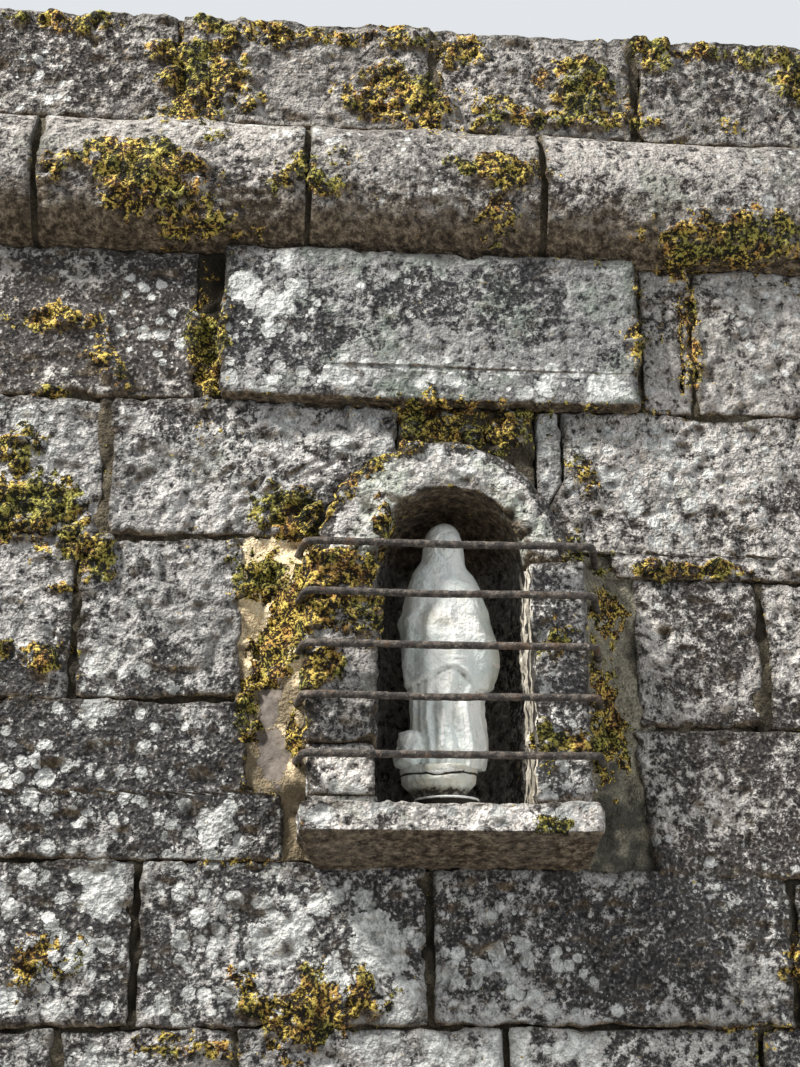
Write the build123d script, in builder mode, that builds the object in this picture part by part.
from math import cos, pi, sin
import os
from build123d import *

# A wayside shrine: one bay of a free-standing granite wall with a small arched niche, a veiled
# figure in it, five iron bars across it, an inscribed stone above and a rounded string course.
# Millimetres. Z is up from the foot of the wall, Y runs into the wall from its front,
# X = 0 is the middle of the wall and Y = 0 the middle of its thickness.

# The wall as a whole
wall_width = 2100
wall_thick = 600
perpend = 10
collar_joint = 10
arris = 12
cut_over = 1

# Heights of the courses: plain ones at the foot, then those beside the niche
plain_courses = 5
plain_height = 339
height_6_left = 310
height_6_right = 280
height_7_left = 317
height_7_right = 297
height_8_left = 338
height_8_right = 316
height_9 = 300
height_10 = 345
string_height = 320
top_height = 275

# Upright joints, measured along the wall
plain_fronts = ((-560, -30, 480), (-790, -250, 300, 760), (-600, -90, 540), (-820, -330, 190, 700),
                (-728, -396, 120, 610))
plain_backs = ((), (-360, 160), (-280, 240), (-400, 60), (-300, 220))
front_6 = (-590, -28, 686)
front_8_left = -735
front_8_right = 667
front_9_left = -685
back_6 = (-640, -110, 420)
back_7 = (-760, -240, 300, 790)
back_8 = (-560, -60, 500)
back_9 = (-780, -300, 210, 720)
back_10 = (-150, 260)
string_joints = (-864, -285, 234)
top_joints = (-574, -5, 464)

# String course
string_projection = 95
string_fillet = 8

# Inscribed stone and its neighbours
inscribed_left = -458
inscribed_right = 430
inscribed_projection = 35
inscription_joint = 56
narrow_stone = 108
groove_rise = 66
groove_depth = 5
groove_height = 9

# Niche frame and lining
niche_x = 15
opening_half = 153
jamb_left_width = 132
jamb_right_width = 112
jamb_height = 490
frame_projection = 100
frame_depth = 130
frame_chamfer = 14
arch_rise = 253
arch_inset = 22
arch_shift = -10
foot_height = 118
foot_slab = 16
foot_step = 5
niche_wall = 105
bed_play = 0.3

# Sill
sill_height = 110
sill_over_left = 16
sill_over_right = 12
sill_projection = 150
sill_face = 55
sill_round = 20

# Mortar beside and above the frame, as widths of its strips
strip_left_low = 46
strip_left_mid = 120
strip_left_high = 130
strip_left_step = 130
strip_right_low = 150
strip_right_mid = 105
strip_right_high = 120
nick_width = 86
nick_rise = 52
nick_slope = 14
fill_recess = 6
bank_projection = 65
bank_width = 64
bank_over_spring = 50
packing_left = -90
packing_right = 205
packing_stone_right = 267
packing_stone_low = 160
packing_stone_side = 100

# Iron bars
bar_radius = 8
bar_sides = 10
bar_plane = 130
bar_bend = 20
bar_side_left = 11
bar_side_right = 10
bar_splay_left = 14
bar_splay_right = 34
bar_embed = 60
bar_rises = (92, 206, 307, 412, 514)

# Dish and base under the figure
round_sides = 24
turned_sides = 40
dish_shift = -5
dish_foot_half = 46
dish_low_half = 50
dish_high_half = 66
dish_height = 30
dish_foot = 10
base_shift = -20
base_low_half = 48
base_waist_half = 62
base_rim_half = 78
base_top_half = 75
base_height = 60
base_waist_rise = 17
base_rim_rise = 32
base_rim_thick = 20

# Figure: robe with hanging folds, mantle, veiled head, joined hands, rock beside the feet.
# Each level is its rise above the base, half its breadth, half its depth and its shift sideways.
robe_folds = 8
robe_levels = ((0, 74, 56, -2, 0.03), (40, 78, 58, 0, 0.06), (110, 74, 55, 0, 0.06),
               (160, 72, 54, 0, 0.04))
mantle_levels = ((134, 76, 62, 0), (163, 84, 66, 2), (213, 94, 70, 5), (281, 89, 69, 4),
                 (351, 77, 62, -5), (386, 68, 52, -6), (417, 49, 42, -7))
veil_levels = ((405, 50, 42, -7), (430, 42, 43, -6), (461, 40, 45, -6), (490, 30, 36, -6),
               (510, 15, 19, -6), (517, 5, 7, -6))
face_levels = ((412, 8, 8), (424, 20, 19), (452, 26, 25), (474, 22, 21), (486, 10, 10))
face_forward = 22
face_gap = 3
hand_levels = ((300, 10, 9), (312, 19, 14), (340, 16, 13), (376, 4, 4))
hand_forward = 62
rock_levels = ((0, 26, 30), (24, 31, 34), (48, 25, 28), (62, 12, 14))
rock_left = 76

half_width = wall_width / 2
half_thick = wall_thick / 2
leaf = (wall_thick - collar_joint) / 2
front = -half_thick
leaf_back = front + leaf

bed_5 = plain_courses * plain_height
bed_6_left = bed_5 + height_6_left
bed_6_right = bed_5 + height_6_right
bed_7_left = bed_6_left + height_7_left
bed_7_right = bed_6_right + height_7_right
bed_8_left = bed_7_left + height_8_left
bed_8_right = bed_7_right + height_8_right
bed_9 = bed_8_left + height_9
bed_10 = bed_9 + height_10
bed_string = bed_10 + string_height
wall_top = bed_string + top_height

sill_bed = (bed_6_left + bed_6_right) / 2
sill_top = sill_bed + sill_height
spring = sill_top + jamb_height
jamb_left_edge = niche_x - opening_half - jamb_left_width
jamb_right_edge = niche_x + opening_half + jamb_right_width
sill_left_edge = jamb_left_edge - sill_over_left
sill_right_edge = jamb_right_edge + sill_over_right
frame_x = (jamb_left_edge + jamb_right_edge) / 2
frame_half = (jamb_right_edge - jamb_left_edge) / 2
frame_front = front - frame_projection
frame_back = frame_front + frame_depth
lining_back = min(frame_back + opening_half + niche_wall, leaf_back)
fill_front = front + fill_recess
arch_half = frame_half - arch_inset
arch_x = frame_x + arch_shift
bank_front = front - bank_projection
bank_top = spring + bank_over_spring

strip_left_edges = (jamb_left_edge - strip_left_low, jamb_left_edge - strip_left_mid,
                    jamb_left_edge - strip_left_high)
strip_right_edges = (jamb_right_edge + strip_right_low, jamb_right_edge + strip_right_mid,
                     jamb_right_edge + strip_right_high)

os.makedirs("parts", exist_ok=True)


def spans(joints, tight=()):
    # Stones between upright joints. Each stops half a joint short, but not at a tight end.
    stones = []
    for left, right in zip(joints, joints[1:]):
        x0 = left if left in tight else left + perpend / 2
        x1 = right if right in tight else right - perpend / 2
        stones.append((x0, x1))
    return stones


def block(x0, x1, y0, y1, z0, z1):
    # One squared stone. The arrises that show on a face or an end of the wall are taken off.
    with BuildPart() as squared:
        with BuildSketch(Plane.XY.offset(z0)):
            with Locations(((x0 + x1) / 2, (y0 + y1) / 2)):
                Rectangle(x1 - x0, y1 - y0)
        extrude(amount=z1 - z0)
        faces = [face for face in squared.faces() if abs(abs(face.center().Y) - half_thick) < cut_over]
        faces += [face for face in squared.faces() if abs(abs(face.center().X) - half_width) < cut_over]
        shown = ShapeList(edge for face in faces for edge in face.edges())
        if shown:
            chamfer(ShapeList(dict.fromkeys(shown)), arris)
    return squared.part


def leaf_row(joints, z0, z1, is_front, tight=()):
    # A row of stones in the front or the back leaf of the wall.
    y0, y1 = (front, leaf_back) if is_front else (-leaf_back, half_thick)
    return [block(x0, x1, y0, y1, z0, z1) for x0, x1 in spans(joints, tight)]


def level_course(front_joints, back_joints, z0, z1):
    # A level course: bonders through the wall at both ends and two leaves between them.
    ends = (-half_width, half_width)
    first = front_joints[0]
    last = front_joints[-1]
    stones = [block(x0, x1, front, half_thick, z0, z1)
              for x0, x1 in (spans((ends[0], first), ends)[0], spans((last, ends[1]), ends)[0])]
    stones += leaf_row(front_joints, z0, z1, True)
    stones += leaf_row((first,) + tuple(back_joints) + (last,), z0, z1, False)
    return stones


def through_course(joints, z0, z1):
    # A course of stones as deep as the wall.
    ends = (-half_width, half_width)
    return [block(x0, x1, front, half_thick, z0, z1)
            for x0, x1 in spans((ends[0],) + tuple(joints) + (ends[1],), ends)]


def outline_solid(points, y0, y1):
    # A flat outline in the face of the wall, carried into it.
    with BuildPart() as solid:
        with BuildSketch(Plane.XZ.offset(-y0)):
            with BuildLine():
                Polyline(*points, close=True)
            make_face()
        extrude(amount=-(y1 - y0))
    return solid.part


def frame_outline(y0, y1, play):
    # The outline of jambs and arch, as a solid that the stones round them are cut to.
    with BuildPart() as solid:
        with BuildSketch(Plane.XZ.offset(-y0)):
            with Locations((frame_x, (sill_top + spring) / 2)):
                Rectangle(2 * frame_half + 2 * play, spring - sill_top)
            with Locations((arch_x, spring)):
                Ellipse(arch_half + play, arch_rise + play)
            with Locations((frame_x, sill_top - arch_rise)):
                Rectangle(4 * frame_half, 2 * arch_rise, mode=Mode.SUBTRACT)
        extrude(amount=-(y1 - y0))
    return solid.part


def bar_wire(rise):
    # The middle line of a bar: straight across the niche, then both ends bent back and outward.
    z = sill_top + rise
    y = front - bar_plane
    end_y = front + bar_embed
    reach = (end_y - y) / bar_plane
    left = jamb_left_edge - bar_side_left
    right = jamb_right_edge + bar_side_right
    with BuildLine(Plane.XY.offset(z)) as line:
        FilletPolyline((left - bar_splay_left * reach, end_y), (left, y), (right, y),
                       (right + bar_splay_right * reach, end_y), radius=bar_bend)
    return line.wire()


def bar_solid(rise, radius):
    # A round rod along the middle line of a bar.
    wire = bar_wire(rise)
    with BuildPart() as rod:
        with BuildSketch(Plane(origin=wire @ 0, z_dir=wire % 0)):
            RegularPolygon(radius, bar_sides)
        sweep(path=wire)
    return rod.part


def bank_solid(edge, outward, foot):
    # Mortar banked up in the corner between a side of the frame and the wall.
    with BuildPart() as bank:
        with BuildSketch(Plane.XY.offset(foot)):
            with BuildLine():
                Polyline((edge - outward * bank_width, fill_front), (edge - outward * bank_width, bank_front),
                         (edge, bank_front), (edge + outward * bank_width, fill_front), close=True)
            make_face()
        extrude(amount=bank_top - foot)
    return bank.part


niche_cut = frame_outline(frame_front - perpend, leaf_back + perpend, bed_play)
left_edges = strip_left_edges
right_edges = strip_right_edges
left_step = bed_6_left + strip_left_step
left_strip = ((left_edges[0], bed_6_left), (left_edges[0], left_step), (left_edges[1], left_step),
              (left_edges[1], bed_7_left), (left_edges[2], bed_7_left), (left_edges[2], bed_8_left),
              (frame_x, bed_8_left), (frame_x, sill_top), (sill_left_edge, sill_top),
              (sill_left_edge, bed_6_left))
nick_x = jamb_right_edge + nick_width
right_strip = ((right_edges[0], bed_6_right), (right_edges[1], bed_7_right),
               (right_edges[2], bed_7_right), (right_edges[2], bed_8_right), (nick_x, bed_8_right),
               (nick_x - nick_slope, bed_8_right + nick_rise), (frame_x, bed_8_right + nick_rise),
               (frame_x, sill_top), (sill_right_edge, sill_top), (sill_right_edge, bed_6_right))
right_strip_cut = outline_solid(right_strip, front - perpend, leaf_back + perpend)
packing_corner = ((packing_right, bed_9), (packing_stone_right, bed_9),
                  (packing_stone_right, bed_9 - packing_stone_low),
                  (packing_right, bed_9 - packing_stone_low - packing_stone_side))

# Plain courses at the foot of the wall, the lowest of stones right through it
with BuildPart() as course_1:
    for stone in through_course(plain_fronts[0], 0, plain_height):
        add(stone)
course_1.part.label = "course_1"
export_step(course_1.part, "parts/course_1.step")

for number in range(1, plain_courses):
    with BuildPart() as plain_course:
        low = number * plain_height
        for stone in level_course(plain_fronts[number], plain_backs[number], low, low + plain_height):
            add(stone)
    plain_course.part.label = "course_%d" % (number + 1)
    export_step(plain_course.part, "parts/course_%d.step" % (number + 1))

# The course that carries the sill: its middle stones are let down to take it
with BuildPart() as course_6:
    for stone in leaf_row((-half_width, front_6[0], front_6[1]), bed_5, bed_6_left, True, (-half_width,)):
        add(stone)
    for stone in leaf_row((front_6[1], front_6[2], half_width), bed_5, sill_bed, True, (half_width,)):
        add(stone)
    add(outline_solid(((sill_left_edge, sill_bed), (front_6[1], sill_bed),
                       (front_6[1], bed_6_left + cut_over), (sill_left_edge, bed_6_left + cut_over)),
                      front - perpend, leaf_back + perpend), mode=Mode.SUBTRACT)
    add(outline_solid(((sill_right_edge, bed_6_right), (half_width + cut_over, bed_6_right),
                       (half_width + cut_over, sill_bed + cut_over),
                       (sill_right_edge, sill_bed + cut_over)),
                      front - perpend, leaf_back + perpend), mode=Mode.SUBTRACT)
    for stone in leaf_row((-half_width,) + back_6 + (half_width,), bed_5, bed_6_left, False,
                          (-half_width, half_width)):
        add(stone)
course_6.part.label = "course_6"
export_step(course_6.part, "parts/course_6.step")

# Seventh course: a long stone with a stepped end on the left, one with a slanting end on the right
with BuildPart() as course_7_left:
    add(outline_solid(((-half_width, bed_6_left), (left_edges[0], bed_6_left), (left_edges[0], left_step),
                       (left_edges[1], left_step), (left_edges[1], bed_7_left),
                       (-half_width, bed_7_left)), front, leaf_back))
course_7_left.part.label = "course_7_left"
export_step(course_7_left.part, "parts/course_7_left.step")

with BuildPart() as course_7_right:
    add(outline_solid(((right_edges[0], bed_6_right), (half_width, bed_6_right),
                       (half_width, bed_7_right), (right_edges[1], bed_7_right)), front, leaf_back))
course_7_right.part.label = "course_7_right"
export_step(course_7_right.part, "parts/course_7_right.step")

# Eighth course, up to the springing of the arch
with BuildPart() as course_8_left:
    for stone in leaf_row((-half_width, front_8_left, left_edges[2]), bed_7_left, bed_8_left, True,
                          (-half_width, left_edges[2])):
        add(stone)
course_8_left.part.label = "course_8_left"
export_step(course_8_left.part, "parts/course_8_left.step")

with BuildPart() as course_8_right:
    for stone in leaf_row((right_edges[2], front_8_right, half_width), bed_7_right, bed_8_right, True,
                          (right_edges[2], half_width)):
        add(stone)
course_8_right.part.label = "course_8_right"
export_step(course_8_right.part, "parts/course_8_right.step")

# Ninth course, cut round the arch
with BuildPart() as course_9_left:
    for stone in leaf_row((-half_width, front_9_left, packing_left), bed_8_left, bed_9, True,
                          (-half_width, packing_left)):
        add(stone)
    add(niche_cut, mode=Mode.SUBTRACT)
course_9_left.part.label = "course_9_left"
export_step(course_9_left.part, "parts/course_9_left.step")

with BuildPart() as course_9_right:
    add(block(packing_right, half_width, front, leaf_back, bed_8_right, bed_9))
    add(niche_cut, mode=Mode.SUBTRACT)
    add(right_strip_cut, mode=Mode.SUBTRACT)
    add(outline_solid(packing_corner, front - perpend, leaf_back + perpend), mode=Mode.SUBTRACT)
course_9_right.part.label = "course_9_right"
export_step(course_9_right.part, "parts/course_9_right.step")

# The back leaf behind the niche, in level courses
back_rows = ((7, back_7, bed_6_left, bed_7_left), (8, back_8, bed_7_left, bed_8_left),
             (9, back_9, bed_8_left, bed_9))
for number, joints, low, high in back_rows:
    with BuildPart() as back_course:
        for stone in leaf_row((-half_width,) + joints + (half_width,), low, high, False,
                              (-half_width, half_width)):
            add(stone)
    back_course.part.label = "course_%d_back" % number
    export_step(back_course.part, "parts/course_%d_back.step" % number)

# Tenth course, round the inscribed stone
course_10_left_end = inscribed_left - inscription_joint
narrow_left = inscribed_right + 2 * perpend
narrow_right = narrow_left + narrow_stone
with BuildPart() as course_10:
    add(block(-half_width, course_10_left_end, front, half_thick, bed_9, bed_10))
    add(block(narrow_left, narrow_right, front, leaf_back, bed_9, bed_10))
    add(block(narrow_right + perpend, half_width, front, half_thick, bed_9, bed_10))
    for stone in leaf_row((course_10_left_end,) + back_10 + (narrow_right + perpend / 2,),
                          bed_9, bed_10, False):
        add(stone)
course_10.part.label = "course_10"
export_step(course_10.part, "parts/course_10.step")

with BuildPart() as inscribed_stone:
    add(outline_solid(((inscribed_left, bed_9), (inscribed_right, bed_9), (inscribed_right, bed_10),
                       (inscribed_left, bed_10)), front - inscribed_projection, leaf_back))
    chamfer(inscribed_stone.faces().sort_by(Axis.Y)[0].edges(), arris)
    add(outline_solid(((inscribed_left - cut_over, bed_9 + groove_rise),
                       (inscribed_right + cut_over, bed_9 + groove_rise),
                       (inscribed_right + cut_over, bed_9 + groove_rise + groove_height),
                       (inscribed_left - cut_over, bed_9 + groove_rise + groove_height)),
                      front - inscribed_projection - cut_over,
                      front - inscribed_projection + groove_depth),
        mode=Mode.SUBTRACT)
inscribed_stone.part.label = "inscribed_stone"
export_step(inscribed_stone.part, "parts/inscribed_stone.step")

with BuildPart() as inscription_mortar:
    add(outline_solid(((course_10_left_end, bed_9), (inscribed_left, bed_9), (inscribed_left, bed_10),
                       (course_10_left_end, bed_10)), fill_front, leaf_back))
inscription_mortar.part.label = "inscription_mortar"
export_step(inscription_mortar.part, "parts/inscription_mortar.step")

# String course: a half-round moulding along both faces of the wall
with BuildPart() as string_course:
    middle = bed_10 + string_height / 2
    ends = (-half_width, half_width)
    for x0, x1 in spans((ends[0],) + string_joints + (ends[1],), ends):
        with BuildSketch(Plane.YZ.offset(x0)):
            with Locations((0, middle)):
                Rectangle(wall_thick, string_height)
            with Locations((front, middle), (half_thick, middle)):
                Ellipse(string_projection, string_height / 2 - string_fillet)
        extrude(amount=x1 - x0)
string_course.part.label = "string_course"
export_step(string_course.part, "parts/string_course.step")

with BuildPart() as top_course:
    for stone in through_course(top_joints, bed_string, wall_top):
        add(stone)
top_course.part.label = "top_course"
export_step(top_course.part, "parts/top_course.step")

# Sill: a thick slab let into the wall, its nose bevelled underneath
with BuildPart() as sill:
    with BuildSketch(Plane.XY.offset(sill_bed)):
        with Locations(((sill_left_edge + sill_right_edge) / 2,
                        (front - sill_projection + leaf_back) / 2)):
            Rectangle(sill_right_edge - sill_left_edge, leaf_back - front + sill_projection)
    extrude(amount=sill_height)
    nose = sill.edges().filter_by(Axis.Z).sort_by(Axis.Y)[:2]
    fillet(nose, sill_round)
    with BuildSketch(Plane.YZ.offset(sill_left_edge - cut_over)):
        with BuildLine():
            Polyline((front - sill_projection - cut_over, sill_bed - cut_over),
                     (front, sill_bed - cut_over), (front, sill_bed),
                     (front - sill_projection, sill_top - sill_face),
                     (front - sill_projection - cut_over, sill_top - sill_face), close=True)
        make_face()
    extrude(amount=sill_right_edge - sill_left_edge + 2 * cut_over, mode=Mode.SUBTRACT)
sill.part.label = "sill"
export_step(sill.part, "parts/sill.step")

# Jambs: the left one stands on a short foot block, the right one is a single stone
with BuildPart() as left_jamb_foot:
    with BuildSketch(Plane.XY.offset(sill_top)):
        with Locations((jamb_left_edge + jamb_left_width / 2, (frame_front + frame_back) / 2)):
            Rectangle(jamb_left_width, frame_depth)
    extrude(amount=foot_slab)
    with BuildSketch(Plane.XY.offset(sill_top + foot_slab)):
        with Locations((jamb_left_edge + jamb_left_width / 2, (frame_front + frame_back + foot_step) / 2)):
            Rectangle(jamb_left_width - foot_step, frame_depth - foot_step)
    extrude(amount=foot_height - foot_slab)
left_jamb_foot.part.label = "left_jamb_foot"
export_step(left_jamb_foot.part, "parts/left_jamb_foot.step")

with BuildPart() as left_jamb:
    with BuildSketch(Plane.XY.offset(sill_top + foot_height)):
        with Locations((jamb_left_edge + jamb_left_width / 2, (frame_front + frame_back) / 2)):
            Rectangle(jamb_left_width, frame_depth)
    extrude(amount=jamb_height - foot_height)
    chamfer(left_jamb.edges().filter_by(Axis.Z).group_by(Axis.Y)[0].sort_by(Axis.X)[0], frame_chamfer)
left_jamb.part.label = "left_jamb"
export_step(left_jamb.part, "parts/left_jamb.step")

with BuildPart() as right_jamb:
    with BuildSketch(Plane.XY.offset(sill_top)):
        with Locations((jamb_right_edge - jamb_right_width / 2, (frame_front + frame_back) / 2)):
            Rectangle(jamb_right_width, frame_depth)
    extrude(amount=jamb_height)
    chamfer(right_jamb.edges().filter_by(Axis.Z).group_by(Axis.Y)[0].sort_by(Axis.X)[-1], frame_chamfer)
right_jamb.part.label = "right_jamb"
export_step(right_jamb.part, "parts/right_jamb.step")

# Arch: one stone cut to a round head
with BuildPart() as arch_stone:
    with BuildSketch(Plane.XZ.offset(-frame_front)):
        with Locations((arch_x, spring)):
            Ellipse(arch_half, arch_rise)
        with Locations((niche_x, spring)):
            Circle(opening_half, mode=Mode.SUBTRACT)
        with Locations((frame_x, spring - arch_rise)):
            Rectangle(4 * frame_half, 2 * arch_rise, mode=Mode.SUBTRACT)
    extrude(amount=-frame_depth)
arch_stone.part.label = "arch_stone"
export_step(arch_stone.part, "parts/arch_stone.step")

# Lining: a block behind the frame, hollowed to a round back and a half dome
with BuildPart() as niche_lining:
    add(frame_outline(frame_back, lining_back, 0))
    with BuildSketch(Plane((niche_x, frame_back, sill_top), x_dir=(1, 0, 0), z_dir=(0, -1, 0))):
        with Locations((opening_half / 2, jamb_height / 2)):
            Rectangle(opening_half, jamb_height)
        with Locations((0, jamb_height)):
            Circle(opening_half)
        with Locations((-opening_half, jamb_height / 2)):
            Rectangle(2 * opening_half, 4 * jamb_height, mode=Mode.SUBTRACT)
    revolve(axis=Axis((niche_x, frame_back, 0), (0, 0, 1)), mode=Mode.SUBTRACT)
niche_lining.part.label = "niche_lining"
export_step(niche_lining.part, "parts/niche_lining.step")

# Mortar on both sides of the frame, banked up against its sides, with a socket for each bar end
with BuildPart() as left_mortar:
    add(outline_solid(left_strip, fill_front, lining_back))
    add(bank_solid(jamb_left_edge, -1, max(left_step, sill_top)))
    add(frame_outline(frame_front, leaf_back + perpend, 0), mode=Mode.SUBTRACT)
    for rise in bar_rises:
        add(bar_solid(rise, bar_radius + bed_play), mode=Mode.SUBTRACT)
left_mortar.part.label = "left_mortar"
export_step(left_mortar.part, "parts/left_mortar.step")

with BuildPart() as right_mortar:
    add(outline_solid(right_strip, fill_front, lining_back))
    add(bank_solid(jamb_right_edge, 1, sill_top))
    add(frame_outline(frame_front, leaf_back + perpend, 0), mode=Mode.SUBTRACT)
    for rise in bar_rises:
        add(bar_solid(rise, bar_radius + bed_play), mode=Mode.SUBTRACT)
right_mortar.part.label = "right_mortar"
export_step(right_mortar.part, "parts/right_mortar.step")

# Packing over the arch: mortar, and one small stone at its right end
with BuildPart() as arch_packing:
    add(outline_solid(((packing_left, spring), (packing_right, spring), (packing_right, bed_9),
                       (packing_left, bed_9)), fill_front, leaf_back))
    add(niche_cut, mode=Mode.SUBTRACT)
arch_packing.part.label = "arch_packing"
export_step(arch_packing.part, "parts/arch_packing.step")

with BuildPart() as packing_stone:
    add(outline_solid(packing_corner, front, leaf_back))
    add(niche_cut, mode=Mode.SUBTRACT)
packing_stone.part.label = "packing_stone"
export_step(packing_stone.part, "parts/packing_stone.step")

# Five round bars
for number, rise in enumerate(bar_rises, start=1):
    with BuildPart() as bar:
        add(bar_solid(rise, bar_radius))
    bar.part.label = "bar_%d" % number
    export_step(bar.part, "parts/bar_%d.step" % number)

# Figure: a shallow dish, a round base with a rim, and the robed and veiled body
figure_y = frame_back
base_z = sill_top + dish_height
figure_z = base_z + base_height


def ring(half_x, half_y, folds=0, fold_depth=0.0, sides=round_sides):
    # One level section: an oval, its edge waved where cloth hangs in folds.
    sides = max(sides, 4 * folds)
    points = []
    for step in range(sides):
        angle = 2 * pi * step / sides
        wave = 1 + fold_depth * cos(folds * angle)
        points.append((half_x * wave * cos(angle), half_y * wave * sin(angle)))
    return points


def levels_solid(x, y, sections):
    # A solid with flat facets through level sections, each a height, a sideways shift and its ring.
    rings = [[(x + shift + across, y + along, z) for across, along in points]
             for z, shift, points in sections]
    facets = [rings[0][::-1], rings[-1]]
    for lower, upper in zip(rings, rings[1:]):
        for step in range(len(lower)):
            after = (step + 1) % len(lower)
            facets.append((lower[step], lower[after], upper[after]))
            facets.append((lower[step], upper[after], upper[step]))
    with BuildPart() as body:
        add(Solid(Shell([Face(Wire.make_polygon(facet)) for facet in facets])))
    return body.part


def turned_solid(x, y, levels):
    # A turned piece through its levels, each a height and a half-width.
    return levels_solid(x, y, [(z, 0, ring(half, half, sides=turned_sides)) for z, half in levels])


dish_levels = ((0, dish_foot_half), (dish_foot, dish_low_half), (dish_height, dish_high_half))
with BuildPart() as dish:
    add(turned_solid(niche_x + dish_shift, figure_y, [(sill_top + rise, half) for rise, half in dish_levels]))
dish.part.label = "dish"
export_step(dish.part, "parts/dish.step")

base_levels = ((0, base_low_half), (base_waist_rise, base_waist_half), (base_rim_rise, base_rim_half),
               (base_rim_rise + base_rim_thick, base_rim_half), (base_height, base_top_half))
with BuildPart() as figure_base:
    add(turned_solid(niche_x + base_shift, figure_y, [(base_z + rise, half) for rise, half in base_levels]))
figure_base.part.label = "figure_base"
export_step(figure_base.part, "parts/figure_base.step")

with BuildPart() as figure:
    add(levels_solid(niche_x, figure_y, [(figure_z + rise, shift, ring(half_x, half_y, robe_folds, depth))
                                         for rise, half_x, half_y, shift, depth in robe_levels]))
    add(levels_solid(niche_x, figure_y, [(figure_z + rise, shift, ring(half_x, half_y))
                                         for rise, half_x, half_y, shift in mantle_levels]))
    add(levels_solid(niche_x, figure_y, [(figure_z + rise, shift, ring(half_x, half_y))
                                         for rise, half_x, half_y, shift in veil_levels]))
    head_x = niche_x + veil_levels[1][3]
    head_y = figure_y - face_forward
    add(levels_solid(head_x, head_y, [(figure_z + rise, 0, ring(half_x + face_gap, half_y + face_gap))
                                      for rise, half_x, half_y in face_levels]), mode=Mode.SUBTRACT)
    add(levels_solid(head_x, head_y, [(figure_z + rise, 0, ring(half_x, half_y))
                                      for rise, half_x, half_y in face_levels]))
    add(levels_solid(head_x, figure_y - hand_forward, [(figure_z + rise, 0, ring(half_x, half_y))
                                                       for rise, half_x, half_y in hand_levels]))
    add(levels_solid(niche_x - rock_left, figure_y, [(figure_z + rise, 0, ring(half_x, half_y))
                                                     for rise, half_x, half_y in rock_levels]))
figure.part.label = "figure"
export_step(figure.part, "parts/figure.step")
